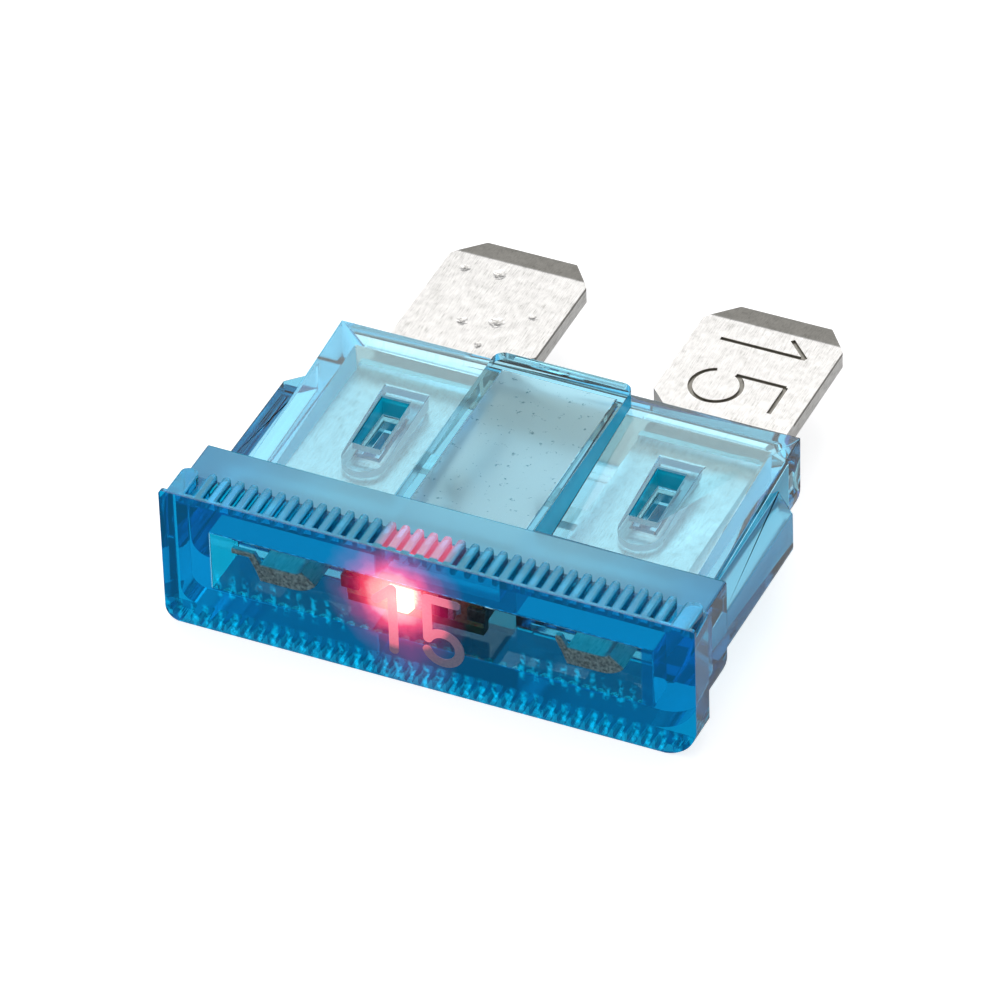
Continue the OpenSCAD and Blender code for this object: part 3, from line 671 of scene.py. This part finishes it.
# %% [markdown]
# ## Tinned zinc blades
#
# The blades are stamped from zinc strip and tin plated. The strip was rolled lengthwise, which leaves a
# fine grain along each blade that shows through the plating: noise that is stretched fifteen times in
# the rolling direction, drawn as shallow bumps. The real grain is finer still. It is drawn three
# hundredths of a millimetre wide, so that it shows in the picture.

# %% Rolled grain
tinned, tree, shader = start_material("tin plated zinc strip", Base_Color=linear("DEDCD8"), Metallic=1.0,
                                      Roughness=0.32)
place, axes = place_on(tree)
ACROSS, ALONG = 0.03, 0.45
stretch = (1 / (ACROSS * MM), 1 / (ALONG * MM), 1 / (ACROSS * MM))
stretched = add(tree, "Mapping", {"Vector": place, "Scale": stretch}).outputs[0]
grain = add(tree, "TexNoise", {"Vector": stretched, "Scale": 1.0, "Detail": 4.0}).outputs["Fac"]
rolled = add(tree, "Bump", {"Height": grain, "Strength": 0.35, "Distance": 0.012 * MM}).outputs[0]
print("grain", ACROSS, "by", ALONG, "mm")

# %% [markdown]
# ## Gouges
#
# The left blade was knocked about before it was photographed, and its face has half a dozen small gouges.
# Each is a spot with a ragged edge that presses the surface in and is darker inside.

# %% Gouges in the left blade
BLADE_T = 0.65
# place across and along the fuse and radius, in mm
GOUGES = [(-5.46, 14.78, 0.16), (-4.32, 15.13, 0.24), (-6.59, 17.51, 0.14),
          (-5.33, 17.6, 0.22), (-3.3, 15.85, 0.1), (-4.41, 13.78, 0.1)]
ragged = add(tree, "TexNoise", {"Vector": place, "Scale": 1 / (0.12 * MM), "Detail": 3.0}).outputs["Fac"]
ragged = add(tree, "Math", {0: ragged, 1: 0.3 * MM}, operation="MULTIPLY").outputs[0]
pits = []
for x, y, radius in GOUGES:
    centre = at(x, y, BLADE_T / 2)
    away = add(tree, "VectorMath", {0: place, 1: centre}, operation="DISTANCE").outputs["Value"]
    away = add(tree, "Math", {0: away, 1: ragged}, operation="ADD").outputs[0]
    rim, bottom = (radius + 0.2) * MM, (radius * 0.4 + 0.1) * MM
    pits.append(add(tree, "MapRange", {0: away, 1: rim, 2: bottom}).outputs[0])
pits = either(tree, *pits)
dents = {"Height": pits, "Normal": rolled, "Strength": 0.8, "Distance": 0.05 * MM}
tree.links.new(add(tree, "Bump", dents, invert=True).outputs[0], shader.inputs["Normal"])
print(len(GOUGES), "gouges")

# %% [markdown]
# ## Colour of the blades
#
# Tin is a warm, nearly white metal, cloudy where it was handled. The pressed tip slants away from the light,
# so it is painted darker. A strip just below the top face, along the bottoms of the pressed digits and the
# upper edge of the sides, is darker too, a painted shade, and the gouges are darker inside.

# %% Skin of the blades
cloud = {"Vector": place, "Scale": 1 / (0.35 * MM), "Detail": 5.0, "Roughness": 0.7}
shine = add(tree, "Mix", {0: 0.55, 2: add(tree, "TexNoise", cloud).outputs["Fac"], 3: grain}).outputs[0]
skin = ramp(tree, shine, 0.36, 0.6, (
    (0.0, linear("C4C2BC")), (1.0, linear("F8F6F2")), (0.35, linear("E2E0DC"))))
# Painted shade on the tip, which slants away from the light, and on a strip just below the top face
tip = slab(tree, axes, "Y", 18.4, 20, 0.1)
groove = overlap(tree, slab(tree, axes, "Z", BLADE_T / 2 - 0.13, BLADE_T / 2 - 0.03, 0.015),
                 slab(tree, axes, "Y", 13.9, 18.3, 0.05))
# The gouges are darker inside
dull = add(tree, "Math", {0: pits, 1: 0.45}, operation="MULTIPLY").outputs[0]
darker = WHITE
for share, shade in ((tip, "BCBAB4"), (groove, "9C9A94"), (dull, "6E6C66")):
    darker = add(tree, "Mix", {0: share, 6: darker, 7: linear(shade)}, data_type="RGBA").outputs[2]
skin = add(tree, "Mix", {0: 1.0, 6: skin, 7: darker}, data_type="RGBA", blend_type="MULTIPLY").outputs[2]
print("the blades' finish has", len(tree.nodes), "nodes so far")

# %% [markdown]
# ## Sheared ends
#
# The test tabs end in a sheared edge behind the window. The shear tore through the plating and left raw,
# brownish zinc, which is matt and mottled.

# %% Sheared ends
cut = slab(tree, axes, "Y", 0, 0.66, 0.06)
torn = add(tree, "TexNoise", {"Vector": place, "Scale": 1 / (0.12 * MM), "Detail": 3.0}).outputs["Fac"]
torn = ramp(tree, torn, 0.35, 0.65, ((0.0, linear("A08880")), (1.0, linear("F4E4DC"))))
skin = add(tree, "Mix", {0: cut, 6: skin, 7: torn}, data_type="RGBA").outputs[2]
tree.links.new(skin, shader.inputs["Base Color"])
whole = add(tree, "Math", {0: 1.0, 1: cut}, operation="SUBTRACT").outputs[0]
tree.links.new(whole, shader.inputs["Metallic"])
for name in ("blade_left", "blade_right"):
    paint(name, tinned)
    print(name, "is", tinned.name)

# %% [markdown]
# ## Finishes of the small parts
#
# Behind the front face sits a board that is smaller than a grain of rice, with a light and a resistor
# soldered to it. None of its surfaces is one even colour: solder mask pools, copper is brushed, solder
# freezes in grains and a fired ceramic is speckled. So each finish wanders between two colours, in
# patches of the size that the real surface shows, and the rough ones are also pitted.

# %% Small parts' finishes


def mottled(name, dark, light, size, depth=0, **values):
    """A finish between two hex colours in patches of size mm, pitted by depth mm."""
    made, tree, shader = start_material(name, **values)
    place, _ = place_on(tree)
    patches = add(tree, "TexNoise", {"Vector": place, "Scale": 1 / (size * MM), "Detail": 4.0}).outputs["Fac"]
    tone = ramp(tree, patches, 0.35, 0.65, ((0.0, linear(dark)), (1.0, linear(light))))
    tree.links.new(tone, shader.inputs["Base Color"])
    pits = add(tree, "Bump", {"Height": patches, "Distance": depth * MM}).outputs[0]
    tree.links.new(pits, shader.inputs["Normal"])
    print(name, "in patches of", size, "mm")
    return made


# Green solder mask over glass cloth: a wet gloss, darker where it pools
mask = mottled("green solder mask", "0A2A18", "17492C", 0.25, 0.004, Roughness=0.3, IOR=1.5)
# Copper plated with a thin nickel and gold: a warm metal with brushed patches
copper = mottled("gold plated copper", "C89860", "E6C088", 0.15, 0.002, Metallic=1.0, Roughness=0.3)
# Glass filled epoxy: chalky cream with fibres showing through
laminate = mottled("white epoxy laminate", "D6D0BC", "F0ECDE", 0.1, 0.003, Roughness=0.55, IOR=1.55)
# Tin lead solder: frozen in small bright and dull grains
solder = mottled("frozen solder", "A8A8A6", "E2E2E0", 0.08, 0.006, Metallic=1.0, Roughness=0.28)
# Tinned copper strip, painted dark grey as a painted shade, with rolled streaks
strip = mottled("tinned copper strip painted dark", "4A4A48", "6E6E6A", 0.2, 0.003, Metallic=1.0, Roughness=0.5)
# Fired alumina: matt white with a fine speckle
alumina = mottled("fired alumina", "D4D4CE", "F2F2EE", 0.06, 0.002, Roughness=0.6, IOR=1.77)
# Black lead glass over the resistor's film: smooth and nearly black
glaze = mottled("black overglaze", "08080A", "1C1C22", 0.2, 0.001, Roughness=0.2, IOR=1.52)

# %% [markdown]
# ## The light
#
# The die of the light is gallium arsenide phosphide, sawn square. It glows evenly, so bright that a
# camera sees it as nearly white, and the clear epoxy over it carries the red to its edges.

# %% Lit finishes
lit = mottled("lit red die", "FF2818", "FF5038", 0.1, Emission_Color=linear("FF4030"), Emission_Strength=60.0)
epoxy = mottled("lit clear epoxy", "FFC8C0", "FFE8E0", 0.3, Roughness=0.3, IOR=1.53, Transmission_Weight=0.4,
                Emission_Color=linear("FF6A50"), Emission_Strength=6.0)

# %% [markdown]
# ## The print
#
# The 15 on the front is pad printed: a thin film of pale ink, a little uneven. The light behind shines
# through it and turns the one pink, while the five, further away, stays greyish.

# %% Ink
ink, tree, shader = start_material("pad printed ink", Roughness=0.5, Emission_Strength=1.0)
place, axes = place_on(tree)
film = add(tree, "TexNoise", {"Vector": place, "Scale": 1 / (0.08 * MM), "Detail": 4.0}).outputs["Fac"]
film = ramp(tree, film, 0.3, 0.7, ((0.0, linear("8C90B0")), (1.0, linear("A8A4BC"))))
tree.links.new(film, shader.inputs["Base Color"])
behind = ramp(tree, distance(tree, axes, LAMP), 0, 2.8 * MM, (
    (0.0, linear("FFBCB3")), (1.0, BLACK), (0.4, linear("F96F81")),
    (0.68, linear("DA5061")), (0.76, linear("500019"))))
tree.links.new(behind, shader.inputs["Emission Color"])
print(ink.name, "has", len(tree.nodes), "nodes")

# %% [markdown]
# ## Who wears what
#
# Each remaining node gets its finish. The parts on the board are hard to see from outside, but someone
# who takes the housing off should find them finished too.

# %% Finish of every small node
FINISHES = {
    "circuit_board": mask, "pad_left": copper, "pad_middle": copper, "pad_right": copper,
    "led_base": laminate, "led_ends": solder, "led_die": lit, "led_cap": epoxy,
    "resistor_body": alumina, "resistor_film": glaze, "resistor_ends": solder,
    "solder_joints": solder, "lead_left": strip, "lead_right": strip, "rating_digits": ink,
}
for name, finish in FINISHES.items():
    paint(name, finish)
    print(name, "is", finish.name)

# %% [markdown]
# ## Small parts with worn edges
#
# A sawn board, a pressed strip and a dipped resistor all have edges rounded by their own making. At this
# size the radius is a few hundredths of a millimetre, just enough for a line of light.

# %% Small pieces
SMALL_LENGTH = 0.1
SMALL_RADII = [
    # node, a slot name, edge radius in mm
    ("circuit_board", "green_board", 0.02),
    ("resistor_ends", "tin_plate", 0.02),
    ("led_cap", "led_cap", 0.03),
    ("lead_left", "lead_strip", 0.03),
    ("lead_right", "lead_strip", 0.03),
]
for name, slot, radius in SMALL_RADII:
    piece = copy_of(name, name + "_rounded")
    soften(piece, radius, SMALL_LENGTH)
    piece.data.materials.clear()
    piece.data.materials.append(FINISHES[name])
    finish_piece(piece, name)

# %% [markdown]
# ## Render settings
#
# Light crosses up to eight walls of this housing, so it may bounce eleven times through clear material.
# The view transform is Standard, which shows colours as they are written.

# %% Settings
scene = bpy.context.scene
scene.view_settings.view_transform = "Standard"
scene.cycles.max_bounces = 11
scene.cycles.transmission_bounces = 11
scene.cycles.glossy_bounces = 4
scene.cycles.transparent_max_bounces = 8
print("bounces:", scene.cycles.max_bounces)
